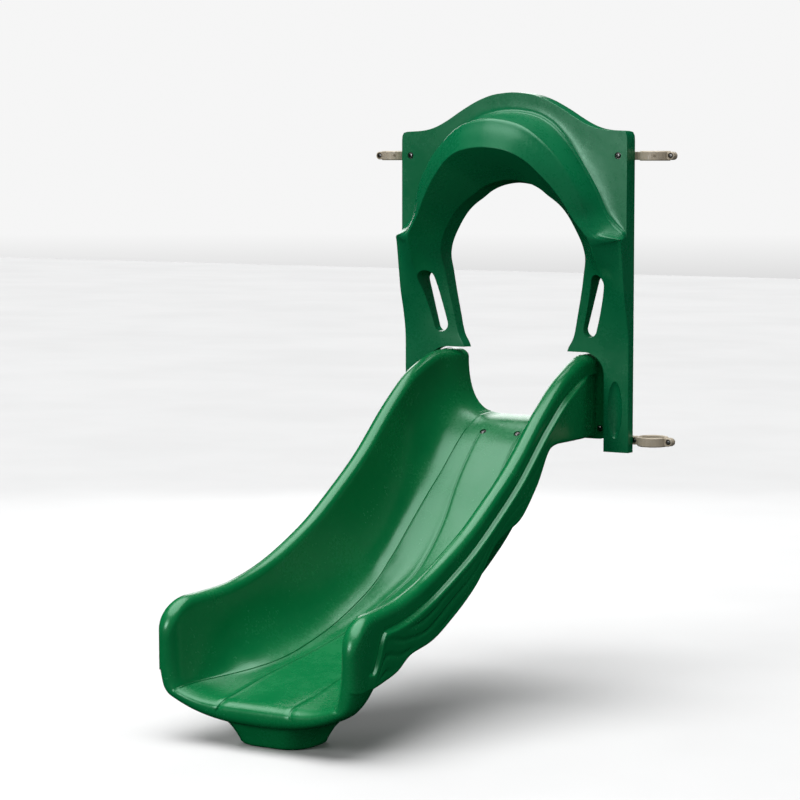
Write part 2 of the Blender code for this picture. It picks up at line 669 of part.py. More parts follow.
# ---------------------------------------------------------------- post clamps
def make_clamp_half(name, side, height, front, upper):
    """Half a ring round the post, with an arm behind the hood and an ear on the far side."""
    facing = -1.0 if front else 1.0
    post = Vector((side * POST_SPACING / 2.0, FOOT_RUN, height))
    rim = []
    start = math_degrees(SPLIT / RING_OUTER)
    for x, y in arc((0.0, 0.0), RING_OUTER, start, 180.0 - start, 14):
        rim.append((x, y * facing))
    start = math_degrees(SPLIT / RING_INNER)
    for x, y in arc((0.0, 0.0), RING_INNER, 180.0 - start, start, 14):
        rim.append((x, y * facing))
    ring = slab(name, rim, RING_HEIGHT, clamp_tan, bevel=0.0035)
    ring.location = post

    thick = PANEL_BACK - GAP - SPLIT
    middle = facing * (SPLIT + thick / 2.0)
    ear = UPPER_EAR_OFFSET if upper else EAR_OFFSET
    reach = {-side: POST_SPACING / 2.0 - PANEL_BOLT_X, side: ear}
    for way, distance in reach.items():
        outline = [(way * x, z) for x, z in
                   arc((distance, 0.0), EAR_RADIUS, -90.0, 90.0, 8)]
        outline += [(way * 0.0497, EAR_RADIUS), (way * 0.0497, -EAR_RADIUS)]
        arm = slab("clamp_arm", outline, thick, bevel=0.0020)
        arm.rotation_euler = (pi / 2, 0.0, 0.0)
        arm.location = post + Vector((0.0, middle, 0.0))
        boolean(ring, arm, "UNION")

    holes = [side * ear, -side * (POST_SPACING / 2.0 - PANEL_BOLT_X)]
    if not upper:
        holes.append(-side * EAR_OFFSET)
    for across in holes:
        hole = rod("clamp_hole", HOLE_RADIUS, 0.060, post + Vector((across, 0.0, 0.0)))
        boolean(ring, hole, "DIFFERENCE")
    if front:
        for across in holes:
            is_arm = abs(across + side * (POST_SPACING / 2.0 - PANEL_BOLT_X)) < 0.001
            if is_arm:
                continue
            spot = post + Vector((across, -(PANEL_BACK - GAP), 0.0))
            boolean(ring, rod("head_recess", HEAD_RADIUS + 0.0010, 0.0124, spot), "DIFFERENCE")
        if upper:
            turn = radians(POST_HOLE_TURN)
            spot = post + Vector((sin(turn), -cos(turn), 0.0)) * RING_OUTER
            hole = rod("post_screw_hole", 0.0048, 0.030, spot)
            hole.rotation_euler = (pi / 2, 0.0, turn)
            boolean(ring, hole, "DIFFERENCE")
    return ring


def math_degrees(value):
    return value * 180.0 / pi


# ---------------------------------------------------------------- bolts, washers and nuts
def make_bolt(name, place, length, turn):
    """Button-head bolt with its head towards its own +Z and its seat at the given place."""
    profile = [*HEAD, (BOLT_RADIUS, 0.0), (BOLT_RADIUS, -length + 0.001),
               (BOLT_RADIUS - 0.001, -length), (0.0, -length)]
    return turned(name, profile, steel, place, turn)


def make_washer(name, place, turn):
    profile = [(HOLE_RADIUS - 0.0002, 0.0), (HOLE_RADIUS - 0.0002, WASHER_THICK),
               (WASHER_RADIUS, WASHER_THICK), (WASHER_RADIUS, 0.0), (HOLE_RADIUS - 0.0002, 0.0)]
    return turned(name, profile, steel, place, turn)


def make_nut(name, place, turn):
    """Hexagon nut, standing on its own z = 0."""
    reach = NUT_ACROSS / 2.0 / cos(pi / 6.0)
    outline = arc((0.0, 0.0), reach, 0.0, 300.0, 5)
    nut = slab(name, outline, NUT_HEIGHT, steel, bevel=0.0008)
    nut.location = place + turned_axis(turn) * (NUT_HEIGHT / 2.0)
    nut.rotation_euler = turn
    bore = rod("nut_bore", BOLT_RADIUS + GAP, 0.040, nut.location)
    bore.rotation_euler = turn
    boolean(nut, bore, "DIFFERENCE")
    return nut


def turned_axis(turn):
    axis = Vector((0.0, 0.0, 1.0))
    axis.rotate(Matrix.Rotation(turn[0], 3, "X"))
    return axis


FRONTWARD = (pi / 2, 0.0, 0.0)
REARWARD = (-pi / 2, 0.0, 0.0)


def make_hardware():
    ear_face = PANEL_BACK - GAP
    seat = ear_face - 0.0062
    for side, hand in ((-1, "left"), (1, "right")):
        post_x = side * POST_SPACING / 2.0

        seat_run = PANEL_FRONT - 0.0080
        spot = (side * PANEL_BOLT_X, UPPER_CLAMP_Z)
        make_washer(f"panel_washer_{hand}", point(spot[0], seat_run + GAP, spot[1]), FRONTWARD)
        head = seat_run + WASHER_THICK + 2.0 * GAP
        make_bolt(f"panel_bolt_{hand}", point(spot[0], head, spot[1]), head + ear_face + 0.012,
                  FRONTWARD)
        make_nut(f"panel_nut_{hand}", point(spot[0], -ear_face - GAP, spot[1]), REARWARD)

        ears = [("upper_ear", post_x + side * UPPER_EAR_OFFSET, UPPER_CLAMP_Z),
                ("lower_ear_outer", post_x + side * EAR_OFFSET, LOWER_CLAMP_Z),
                ("lower_ear_inner", post_x - side * EAR_OFFSET, LOWER_CLAMP_Z)]
        for label, x, z in ears:
            make_bolt(f"{label}_bolt_{hand}", point(x, seat + GAP, z), seat + ear_face + 0.012,
                      FRONTWARD)
            make_nut(f"{label}_nut_{hand}", point(x, -ear_face - GAP, z), REARWARD)

        make_bolt(f"leg_bolt_{hand}",
                  point(side * PANEL_BOLT_X, -ear_face - GAP, LOWER_CLAMP_Z), 0.050, REARWARD)

        x, z = FLANGE_BOLT[0] * side, FLANGE_BOLT[1]
        make_washer(f"flange_washer_{hand}", point(x, FLANGE_THICK + GAP, z), FRONTWARD)
        head = FLANGE_THICK + WASHER_THICK + 2.0 * GAP
        make_bolt(f"flange_bolt_{hand}", point(x, head, z), 0.036, FRONTWARD)
        make_nut(f"flange_nut_{hand}", point(x, -DECK_PLATE, z), REARWARD)

        across, run = BED_BOLT
        normal = bed_surface_normal(run)
        turn = bed_bolt_turn(normal)
        surface = point(side * across, run, bed_height(run))
        depth = along(BELLY_DEPTH, run)
        make_washer(f"bed_washer_{hand}", surface - normal * (0.007 - GAP), turn)
        make_bolt(f"bed_bolt_{hand}", surface - normal * (0.007 - WASHER_THICK - 2.0 * GAP),
                  depth + 0.012, turn)
        make_nut(f"bed_nut_{hand}", surface - normal * (depth + NUT_HEIGHT + 0.0005), turn)


for stale in list(bpy.data.objects):
    bpy.data.objects.remove(stale, do_unlink=True)
slide = bpy.data.collections.new("wave_slide")
bpy.context.scene.collection.children.link(slide)
cutters = bpy.data.collections.new("cutters")
bpy.context.scene.collection.children.link(cutters)
bed_green = material("green polyethylene", GREEN, 0.38, 0.0)
hood_green = material("dark green polyethylene", HOOD_GREEN, 0.42, 0.0)
clamp_tan = material("tan coated aluminium", TAN, 0.45, 0.0)
steel = material("stainless steel", STEEL, 0.32, 1.0)

make_bed()
make_hood()
for post_side, post_hand in ((-1, "left"), (1, "right")):
    for level, place_z in (("upper", UPPER_CLAMP_Z), ("lower", LOWER_CLAMP_Z)):
        for face in ("front", "rear"):
            make_clamp_half(f"{level}_clamp_{face}_{post_hand}", post_side, place_z,
                            face == "front", level == "upper")
make_hardware()
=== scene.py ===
"""Looks of the wave slide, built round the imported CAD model.  Metres, +Z up, exit at -Y.

Run is the distance from the line of the two posts towards the exit: Y = FOOT_RUN - run.
"""

from math import atan2, cos, pi, radians, sin, sqrt

import bmesh
import bpy
from mathutils import Matrix, Vector


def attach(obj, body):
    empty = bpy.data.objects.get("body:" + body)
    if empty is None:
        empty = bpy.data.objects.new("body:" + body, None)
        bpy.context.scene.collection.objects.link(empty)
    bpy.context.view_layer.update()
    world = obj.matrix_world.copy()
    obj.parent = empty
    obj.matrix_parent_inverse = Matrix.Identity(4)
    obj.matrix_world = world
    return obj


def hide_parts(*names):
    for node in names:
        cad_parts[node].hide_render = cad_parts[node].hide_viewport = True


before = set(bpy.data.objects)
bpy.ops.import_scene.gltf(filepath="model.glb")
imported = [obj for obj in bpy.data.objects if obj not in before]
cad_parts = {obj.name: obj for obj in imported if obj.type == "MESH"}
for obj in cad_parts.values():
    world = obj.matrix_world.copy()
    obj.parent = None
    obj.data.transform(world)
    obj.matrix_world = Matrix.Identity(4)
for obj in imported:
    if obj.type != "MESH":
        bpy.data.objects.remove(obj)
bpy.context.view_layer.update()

# ---------------------------------------------------------------- sizes, as in the CAD
FOOT_RUN = 1.510            # where the middle of the foot is
EXIT_RUN = 1.680            # the tip of the exit lip

# The bed, as pairs of run and height or distance from the middle.
BED_HEIGHT = ((0.0, 0.925), (0.08, 0.915), (0.17, 0.858), (0.28, 0.750), (0.40, 0.610),
              (0.50, 0.508), (0.60, 0.430), (0.70, 0.378), (0.80, 0.337), (0.90, 0.301),
              (1.00, 0.271), (1.20, 0.228), (1.40, 0.193), (1.55, 0.164), (1.70, 0.142))
RIM_HEIGHT = ((0.0, 1.157), (0.08, 1.155), (0.25, 1.100), (0.40, 1.000), (0.60, 0.830),
              (0.73, 0.740), (0.95, 0.610), (1.25, 0.492), (1.40, 0.462), (1.70, 0.445))
INNER_WALL = ((0.0, 0.218), (0.05, 0.236), (0.12, 0.262), (0.30, 0.275), (1.00, 0.277),
              (1.35, 0.294), (1.68, 0.318))
OUTER_WALL = ((0.0, 0.322), (0.12, 0.326), (0.30, 0.333), (1.00, 0.337), (1.35, 0.352),
              (1.60, 0.378), (1.68, 0.386))
CREASE = ((0.0, 0.125), (0.15, 0.138), (0.30, 0.149), (0.40, 0.168), (0.50, 0.174),
          (0.60, 0.170), (0.80, 0.158), (1.00, 0.158), (1.20, 0.157), (1.30, 0.165),
          (1.40, 0.192), (1.50, 0.245), (1.60, 0.288), (1.70, 0.297))
CREASE_RISE = ((0.0, 0.006), (0.15, 0.010), (0.30, 0.020), (0.50, 0.042), (0.60, 0.044),
               (0.70, 0.031), (0.85, 0.021), (1.10, 0.010), (1.30, 0.008), (1.45, 0.012),
               (1.60, 0.022), (1.70, 0.028))
CREASE_SLOPE = ((0.0, 0.25), (1.20, 0.30), (1.70, 1.30))
BELLY_DEPTH = ((0.0, 0.030), (0.10, 0.034), (0.45, 0.030), (1.35, 0.032), (1.62, 0.080),
               (1.70, 0.072))
CREASE_DEPTH = ((0.0, 0.026), (0.20, 0.024), (0.45, 0.014), (1.25, 0.014), (1.40, 0.026),
                (1.62, 0.056), (1.70, 0.054))
GROOVE = ((0.0, 0.070), (0.15, 0.078), (0.30, 0.080), (0.45, 0.066), (0.60, 0.065),
          (0.75, 0.084), (1.00, 0.097), (1.25, 0.116), (1.50, 0.133), (1.70, 0.129))
SKIRT_HEIGHT = ((0.0, 0.868), (0.34, 0.868), (0.40, 0.858), (0.50, 0.735), (0.62, 0.629),
                (0.69, 0.605), (0.78, 0.565), (0.90, 0.454), (1.04, 0.372), (1.20, 0.308),
                (1.33, 0.288), (1.43, 0.246), (1.57, 0.224), (1.70, 0.216))
SKIRT_PROUD = ((0.0, -0.010), (0.06, -0.008), (0.14, 0.012), (0.30, 0.018), (1.40, 0.017),
               (1.66, 0.002), (1.70, 0.001))
SHELF = ((0.0, 0.012), (1.40, 0.012), (1.62, 0.001), (1.70, 0.0))
ROLL = 0.030                # the rim's rounding, top to bottom
NOSE_RUN = 1.625            # where the exit starts to round over
NOSE_FALL = 1.550           # where the rim starts to fall towards the exit
NOSE_TOP = 0.330            # height of the foremost line's upper end
NOSE_FLAT = 0.045           # share of the wall left at the very tip
NOSE_POWER = 2.5            # 2 would be an ellipse; more is squarer
LEDGE_DROP = 0.046          # from the crest of the rim to the ledge under it
LEDGE_TURN = 1.485          # where the ledge starts to turn down
LEDGE_END = 1.575           # where it has reached its lowest
LEDGE_LOWEST = 0.115        # its height there, above the skirt's bottom
LEDGE_PROUD = 0.012         # how far it stands out where it turns
# Its section: share of how far the skirt stands out, and how far below the rim's side.
LEDGE_SHAPE = ((0.0, 0.0), (0.0, 0.010), (-0.06, 0.015), (-0.15, 0.019), (-0.06, 0.0225),
               (0.30, 0.025), (0.75, 0.0275), (0.97, 0.0315), (1.0, 0.038))
BELLY_SHARES = (0.88, 0.76, 0.62, 0.45, 0.30, 0.15, 0.0)
RIM_ROWS = 9                # steps in a quarter of the rim's rounding
SKIRT_ROWS = 14
CORNER_RUN = 1.45           # from here on the corner under the skirt fills out
CORNER_FILL = 0.12          # and here is how long that takes
FLANGE_THICK = 0.014        # plate that bolts to the deck's edge
FLANGE_HALF = 0.349
FLANGE_BOTTOM = 0.855
FLANGE_BOLT = (0.331, 0.893)
BED_BOLT = (0.070, 0.152)   # across and run
BED_STEP = 0.0105           # between two sections of the bed
FOOT_CORNER = 0.078
FOOT_TOP = (0.186, 0.146)   # its half width and half length inside the bed
FOOT_SINK = 0.020           # how far below the sliding face it ends
# The foot's sections: height, half width, half length.
FOOT = ((0.0, 0.112, 0.092), (0.0012, 0.119, 0.099), (0.004, 0.125, 0.105), (0.009, 0.129, 0.109),
        (0.018, 0.132, 0.112), (0.035, 0.140, 0.118), (0.052, 0.149, 0.125),
        (0.070, 0.164, 0.133), (0.088, 0.182, 0.142))

# The hood.  Its panel's faces are runs.
PANEL_BACK = 0.015
PANEL_FRONT = 0.075
LEG_FRONT = 0.055
PANEL_HALF = 0.4626
HOOD_BOTTOM = 0.815
PANEL_BOLT_X = 0.426
UPPER_CLAMP_Z = 1.857
LOWER_CLAMP_Z = 0.857
VISOR_HUB = 1.450           # height that the visor's angles are turned about
NOTCH_ANGLE = 13.8          # where the visor steps back to the column
PANEL_CORNER_ANGLE = 45.76  # where the panel's straight side ends
WAVY_ANGLE = 48.4           # from here on its top is softened
HOOD_STEP = 0.0125          # between two sections of a column
CLEARANCE_HALF = 0.366
CLEARANCE_TOP = 1.164
CLEARANCE_RADIUS = 0.080
HANDHOLD_TOP = (0.352, 1.410)
HANDHOLD_LOW = (0.308, 1.245)
HANDHOLD_RADIUS = 0.027
RECESS = (0.410, 0.965)
RECESS_HALF = (0.028, 0.100)
RECESS_DEPTH = 0.010
HOLE_RADIUS = 0.0056
BORE_RADIUS = 0.0125        # round the head of a bolt
SHARP_ANGLE = 40.0          # edges that turn more than this stay sharp
PANEL_TOP = ((PANEL_HALF, 1.925), (0.455, 1.940), (0.440, 1.944), (0.370, 1.946),
             (0.320, 1.958), (0.267, 1.984), (0.208, 2.020), (0.142, 2.054),
             (0.080, 2.075), (0.0, 2.083))
# Corners of the visor's section: angle, distance from its hub, run.
RIDGE = ((13.8, 0.4765, 0.117), (15.2, 0.475, 0.092), (22.6, 0.443, 0.090), (28.6, 0.434, 0.090),
         (39.4, 0.447, 0.090), (49.5, 0.465, 0.090), (58.0, 0.490, 0.090), (65.0, 0.515, 0.091),
         (72.3, 0.541, 0.092), (79.8, 0.556, 0.093), (90.0, 0.560, 0.094))
VISOR_OUT = ((0.0, 0.4626, 0.101), (7.0, 0.4661, 0.109), (13.8, 0.4762, 0.120),
             (16.7, 0.4385, 0.150), (19.7, 0.414, 0.160), (24.1, 0.404, 0.168),
             (28.2, 0.403, 0.172), (37.8, 0.424, 0.185), (51.2, 0.460, 0.200),
             (65.0, 0.497, 0.216), (78.0, 0.529, 0.232), (90.0, 0.538, 0.240))
VISOR_IN = ((0.0, 0.383, 0.115), (8.1, 0.381, 0.153), (17.5, 0.388, 0.185), (22.8, 0.379, 0.195),
            (31.9, 0.371, 0.207), (45.0, 0.383, 0.226), (57.8, 0.402, 0.250), (68.9, 0.425, 0.270),
            (78.0, 0.435, 0.284), (90.0, 0.437, 0.290))
TUNNEL = ((0.0, 0.288, 0.062), (12.0, 0.303, 0.074), (19.1, 0.305, 0.080), (29.6, 0.304, 0.085),
          (48.3, 0.308, 0.085), (58.8, 0.307, 0.085), (67.5, 0.314, 0.085), (77.4, 0.319, 0.085),
          (90.0, 0.322, 0.085))
# Corners of a column's section: height, then the run or the distance across.
COLUMN_FRONT = ((0.815, 0.052), (1.17, 0.052), (1.214, 0.054), (1.30, 0.070), (1.363, 0.087),
                (1.45, 0.101))
COLUMN_CREASE_X = ((0.815, 0.300), (1.17, 0.306), (1.265, 0.345), (1.34, 0.372), (1.385, 0.381),
                   (1.45, 0.383))
COLUMN_CREASE_RUN = ((0.815, 0.052), (1.17, 0.052), (1.265, 0.055), (1.33, 0.066), (1.385, 0.082),
                     (1.45, 0.115))
COLUMN_INNER_X = ((0.815, 0.200), (1.17, 0.213), (1.205, 0.236), (1.30, 0.258), (1.385, 0.276),
                  (1.45, 0.288))
COLUMN_INNER_RUN = ((0.815, 0.045), (1.205, 0.045), (1.30, 0.049), (1.385, 0.055), (1.45, 0.062))


# ---------------------------------------------------------------- reading the tables
def along(pairs, at):
    """Read a table at one place, with a smooth curve that never overshoots its pairs."""
    at = min(max(at, pairs[0][0]), pairs[-1][0])
    rises = [(b[1] - a[1]) / (b[0] - a[0]) for a, b in zip(pairs, pairs[1:])]
    slopes = [rises[0]]
    for before, after in zip(rises, rises[1:]):
        steady = before * after > 0.0
        slopes.append(2.0 * before * after / (before + after) if steady else 0.0)
    slopes.append(rises[-1])
    index = 0
    while at > pairs[index + 1][0]:
        index += 1
    (left, low), (right, high) = pairs[index], pairs[index + 1]
    width = right - left
    t = (at - left) / width
    start = low * (1.0 + 2.0 * t) + slopes[index] * width * t
    finish = high * (3.0 - 2.0 * t) - slopes[index + 1] * width * (1.0 - t)
    return start * (1.0 - t) ** 2 + finish * t ** 2


def soft(pairs, at, reach=0.03):
    """The same reading, averaged over a short stretch so that no kink shows."""
    total = 0.0
    for shift, weight in ((-1.0, 1.0), (-0.5, 3.0), (0.0, 4.0), (0.5, 3.0), (1.0, 1.0)):
        total += weight * along(pairs, at + shift * reach)
    return total / 12.0


def edge(table, angle):
    """One corner of the visor's section, as distance from the hub and run."""
    distance = soft([(row[0], row[1]) for row in table], angle, edge_reach(angle))
    run = soft([(row[0], row[2]) for row in table], angle, edge_reach(angle))
    return Vector((distance, run))


def edge_reach(angle):
    """How far a reading is averaged: hardly at all near the notch."""
    return 0.6 if angle < 20.0 else 2.5


def point(x, run, z):
    """A place in the frame, from its distance across, its run and its height."""
    return Vector((x, FOOT_RUN - run, z))


def shares_of(path):
    """Where each point of a path lies, as a share of its length."""
    marks = [0.0]
    for a, b in zip(path, path[1:]):
        marks.append(marks[-1] + (Vector(b) - Vector(a)).length)
    return [mark / marks[-1] for mark in marks]


def spread(path, shares):
    """Points at given shares of a path's length."""
    marks = shares_of(path)
    found = []
    index = 0
    for share in shares:
        while index < len(path) - 2 and share > marks[index + 1]:
            index += 1
        while index > 0 and share < marks[index]:
            index -= 1
        part = (share - marks[index]) / max(marks[index + 1] - marks[index], 1e-9)
        found.append(Vector(path[index]).lerp(Vector(path[index + 1]), part))
    return found


def bend(a, corner, b, count):
    """A rounded corner: points on a quadratic curve from a to b."""
    a, corner, b = Vector(a), Vector(corner), Vector(b)
    marks = []
    for i in range(count + 1):
        t = i / count
        marks.append(a * (1 - t) ** 2 + corner * (2 * t * (1 - t)) + b * t * t)
    return marks


def cut_corners(path, closed, rounds):
    """Round a polygon off by cutting its corners, and again."""
    for _ in range(rounds):
        fresh = [] if closed else [path[0]]
        last = len(path) if closed else len(path) - 1
        for i in range(last):
            a, b = Vector(path[i]), Vector(path[(i + 1) % len(path)])
            fresh += [a.lerp(b, 0.25), a.lerp(b, 0.75)]
        if not closed:
            fresh.append(path[-1])
        path = fresh
    return path


# ---------------------------------------------------------------- slide bed
def rim_height(run):
    """Top of the rim, which falls in a quarter of an ellipse at the exit."""
    height = soft(RIM_HEIGHT, run)
    if run <= NOSE_FALL:
        return height
    level = soft(RIM_HEIGHT, NOSE_FALL)
    share = min(1.0, (run - NOSE_FALL) / (EXIT_RUN - NOSE_FALL))
    return NOSE_TOP + (level - NOSE_TOP) * sqrt(max(0.0, 1.0 - share * share))


def wall_frame(run):
    """The four handles of the curve from the crease up to the rim."""
    bed = soft(BED_HEIGHT, run)
    low = Vector((soft(CREASE, run), bed + soft(CREASE_RISE, run)))
    top = Vector((soft(INNER_WALL, run), rim_height(run) - ROLL))
    leave = Vector((1.0, soft(CREASE_SLOPE, run))).normalized()
    low_handle = low + leave * min(0.070, 0.75 * (top.x - low.x))
    top_handle = top - Vector((0.0, 0.50 * (top.y - low.y)))
    return low, low_handle, top_handle, top


def wall_point(handles, t):
    """A place on that curve, and the direction that points out of the trough."""
    a, b, c, d = handles
    u = 1.0 - t
    place = a * u ** 3 + b * (3.0 * u * u * t) + c * (3.0 * u * t * t) + d * t ** 3
    way = (b - a) * (u * u) + (c - b) * (2.0 * u * t) + (d - c) * (t * t)
    return place, Vector((way.y, -way.x)).normalized()


# Section of the narrow channels in the sliding face: (place across, share of the depth).
CHANNEL = ((-1.0, 0.0), (-0.75, 0.12), (-0.45, 0.70), (0.0, 1.0), (0.45, 0.70), (0.75, 0.12),
           (1.0, 0.0))
CHANNEL_START = 7           # points of a section before the channel
CHANNEL_DEPTH = 0.0044
CHANNEL_HALF = 0.0056
CHANNEL_LANE = 0.006        # half of the strip that is kept clear for it
CHANNEL_RUN = 0.13          # where it starts
CHANNEL_FADE = 0.05
CREASE_STEP = 0.0032        # the small step beside the crease
WALL_ROWS = 24


def inner_path(run):
    """Section of the trough's inside, from its middle up to the top of the rim."""
    bed = soft(BED_HEIGHT, run)
    groove = soft(GROOVE, run)
    handles = wall_frame(run)
    crease = handles[0]
    path = [Vector(((groove - CHANNEL_LANE) * i / CHANNEL_START, bed))
            for i in range(CHANNEL_START)]
    path += [Vector((groove + CHANNEL_HALF * share, bed)) for share, _ in CHANNEL]
    reach = crease.x - CHANNEL_LANE - groove - CHANNEL_LANE
    rise = crease.y - bed
    for i in range(1, 10):
        share = i / 9.0
        path.append(Vector((groove + CHANNEL_LANE + reach * share,
                            bed + rise * 0.93 * share ** 2.3)))
    step = CREASE_STEP * min(1.0, max(0.0, (run - 0.10) / 0.08))
    path += [crease + Vector((-0.0028, -0.0010 - step)), crease + Vector((-0.0010, -0.0004 - step)),
             crease + Vector((0.0006, 0.0006)), crease + Vector((0.0022, 0.0013))]
    for i in range(1, WALL_ROWS + 1):
        t = 0.03 + 0.97 * i / WALL_ROWS
        path.append(wall_point(handles, t)[0])
    middle, half = rim_middle(run)
    path += [rim_place(middle, half, rim_height(run), 180.0 - 90.0 * i / RIM_ROWS)
             for i in range(1, RIM_ROWS)]
    return path


def rim_middle(run):
    """Middle and half width of the rolled rim."""
    inner = soft(INNER_WALL, run)
    outer = soft(OUTER_WALL, run)
    return (inner + outer) / 2.0, (outer - inner) / 2.0


def rim_place(middle, half, crest, angle):
    """A place on the rolled rim; its crest is at 90 degrees."""
    turn = radians(angle)
    return Vector((middle + half * cos(turn), crest - ROLL + ROLL * sin(turn)))


def ease(share):
    """From 0 to 1 with a soft start and a soft end."""
    share = min(1.0, max(0.0, share))
    return share * share * (3.0 - 2.0 * share)


STROKE_DEPTH = 0.0042
STROKE_COUNT = 2.3          # strokes between the skirt's top and its bottom
STROKE_WIDTH = 0.36         # share of their spacing
STROKE_FAINT = 0.22         # share of the depth along the upper part of the slide
STROKE_END = 1.58


def grain(run, height, top, low):
    """Wavy strokes sunk into the skirt, clearest near the exit: how deep they are there."""
    share = (height - low) / max(top - low, 1e-6)
    fade = STROKE_FAINT * ease((run - 0.30) / 0.20)
    fade += (1.0 - STROKE_FAINT) * ease((run - 0.80) / 0.35)
    fade *= ease((STROKE_END - run) / 0.08)
    edges = min(1.0, max(0.0, share / 0.15)) * min(1.0, max(0.0, (1.0 - share) / 0.15))
    wave = STROKE_COUNT * share + 0.60 * sin(run * 7.0) + 0.28 * sin(run * 15.0 + 1.0)
    stroke = abs((wave % 1.0) - 0.5) * 2.0
    return -STROKE_DEPTH * fade * edges * max(0.0, 1.0 - stroke / STROKE_WIDTH)


def outer_path(run):
    """Section of the outside: over the rim, the ledge, the skirt, and under the belly."""
    middle, half = rim_middle(run)
    crest = rim_height(run)
    outer = middle + half
    proud = soft(SKIRT_PROUD, run)
    skirt = outer + proud
    low = soft(SKIRT_HEIGHT, run, 0.016)
    turned_down = ease((run - LEDGE_TURN) / (LEDGE_END - LEDGE_TURN))
    if run > LEDGE_TURN:
        proud = LEDGE_PROUD * (1.0 - ease((run - LEDGE_END) / 0.018))
        skirt = outer + proud
    step = max(0.0, proud)
    path = [rim_place(middle, half, crest, 90.0 - 90.0 * i / RIM_ROWS)
            for i in range(1, RIM_ROWS + 1)]
    ledge = crest - LEDGE_DROP - turned_down * max(0.0, crest - low - LEDGE_LOWEST)
    path += [(outer + share * (step if share < 0.0 else proud), ledge - drop)
             for share, drop in LEDGE_SHAPE]
    top, bottom = ledge - 0.043, low + 0.012
    for i in range(SKIRT_ROWS):
        share = i / (SKIRT_ROWS - 1)
        height = top + (bottom - top) * i / (SKIRT_ROWS - 1)
        lean = -0.04 * step * share
        path.append((skirt + lean + grain(run, height, top, bottom), height))
    handles = wall_frame(run)
    wide = outer - soft(INNER_WALL, run) - soft(SHELF, run)
    deep = soft(CREASE_DEPTH, run)
    filled = ease((run - CORNER_RUN) / CORNER_FILL)

    def far_side(t):
        """The hidden side of the wall, beside the same place on its inside."""
        place, away = wall_point(handles, t)
        full = t + (min(1.0, t / 0.22) - t) * filled
        down = deep + (wide - deep) * full if deep < wide else deep
        return Vector((place.x + away.x * (down + (wide - down) * full),
                       place.y + away.y * down))

    above, below = 1.0, 0.0
    for _ in range(30):
        guess = (above + below) / 2.0
        if far_side(guess).y > low + 0.005:
            above = guess
        else:
            below = guess
    start = max(above, 0.03)
    reach = far_side(start).x
    foot_in = max(reach, skirt - 0.034)
    closed = max(foot_in, skirt - 0.004 - 0.65 * step)
    foot_in += (closed - foot_in) * filled
    shift = (closed - reach) * filled
    path += [(skirt - 0.10 * step, low + 0.004), (skirt - 0.40 * step, low),
             ((skirt - 0.40 * step + foot_in) / 2.0, low), (foot_in + 0.25 * step, low + 0.0005)]
    for i in range(9):
        share = 1.0 - i / 8.0
        path.append(far_side(start * share) + Vector((shift * share ** 1.5, 0.0)))
    floor = soft(BED_HEIGHT, run) - soft(BELLY_DEPTH, run)
    corner = far_side(0.0)
    lift = min(1.0, max(0.0, (run - 1.40) / 0.20)) * (corner.y - floor)
    path += [(corner.x * share, floor + lift * share ** 2.6)
             for share in BELLY_SHARES]
    path = [Vector(place) for place in path]
    rounded = cut_corners(path[RIM_ROWS - 1:], False, 1)
    return path[:RIM_ROWS - 1] + rounded


def flange_path(run, count):
    """Outline of the plate that bolts to the deck's edge, from the crest to its middle."""
    inner = along(INNER_WALL, run)
    middle = (inner + FLANGE_HALF) / 2.0
    half = FLANGE_HALF - middle
    crest = rim_height(run)
    path = [rim_place(middle, half, crest, 90.0 - 10.0 * i) for i in range(10)]
    path += bend((FLANGE_HALF, FLANGE_BOTTOM + 0.02), (FLANGE_HALF, FLANGE_BOTTOM),
                 (FLANGE_HALF - 0.02, FLANGE_BOTTOM), 6)
    path.append(Vector((0.0, FLANGE_BOTTOM)))
    return spread(path, [(i + 1) / count for i in range(count)])


def bed_ring(run, flange=False):
    """One whole section of the right half; past NOSE_RUN its wall gets thinner to the tip."""
    upper = inner_path(run)
    crest = Vector((rim_middle(run)[0], rim_height(run)))
    under = outer_path(run)
    if flange:
        under = flange_path(run, len(under))
        crest = Vector(((along(INNER_WALL, run) + FLANGE_HALF) / 2.0, rim_height(run)))
    if run > NOSE_RUN:
        share = (run - NOSE_RUN) / (EXIT_RUN - NOSE_RUN)
        keep = max(max(0.0, 1.0 - share ** NOSE_POWER) ** (1.0 / NOSE_POWER), NOSE_FLAT)
        top_line = upper + [crest]
        low_line = under[::-1] + [crest]
        for_upper = spread(low_line, shares_of(top_line))
        for_under = spread(top_line, shares_of(low_line))
        for index, other in enumerate(for_upper[:-1]):
            centre = (upper[index] + other) / 2.0
            upper[index] = centre + (upper[index] - centre) * keep
        moved = []
        for place, other in zip(low_line[:-1], for_under[:-1]):
            centre = (place + other) / 2.0
            moved.append(centre + (place - centre) * keep)
        under = moved[::-1]
    flat = upper + [crest] + under
    ring = [point(place[0], run, place[1]) for place in flat]
    turn = min(1.0, max(0.0, (run - NOSE_RUN) / (EXIT_RUN - NOSE_RUN))) ** 1.5 * pi / 2.0
    inward = Vector((0.0, sin(turn), -cos(turn)))
    fade = min(1.0, max(0.0, (run - CHANNEL_RUN) / CHANNEL_FADE))
    for index, (_, sunk) in enumerate(CHANNEL):
        ring[CHANNEL_START + index] += inward * (sunk * CHANNEL_DEPTH * fade)
    return ring


def loft(rings, closed, caps):
    """Faces between rings of points, with a cap on the ends that are asked for."""
    draft = bmesh.new()
    rows = [[draft.verts.new(place) for place in ring] for ring in rings]
    count = len(rings[0])
    for first, second in zip(rows, rows[1:]):
        for i in range(count if closed else count - 1):
            j = (i + 1) % count
            draft.faces.new((first[i], first[j], second[j], second[i]))
    if "start" in caps:
        draft.faces.new(rows[0])
    if "end" in caps:
        draft.faces.new(rows[-1])
    return draft


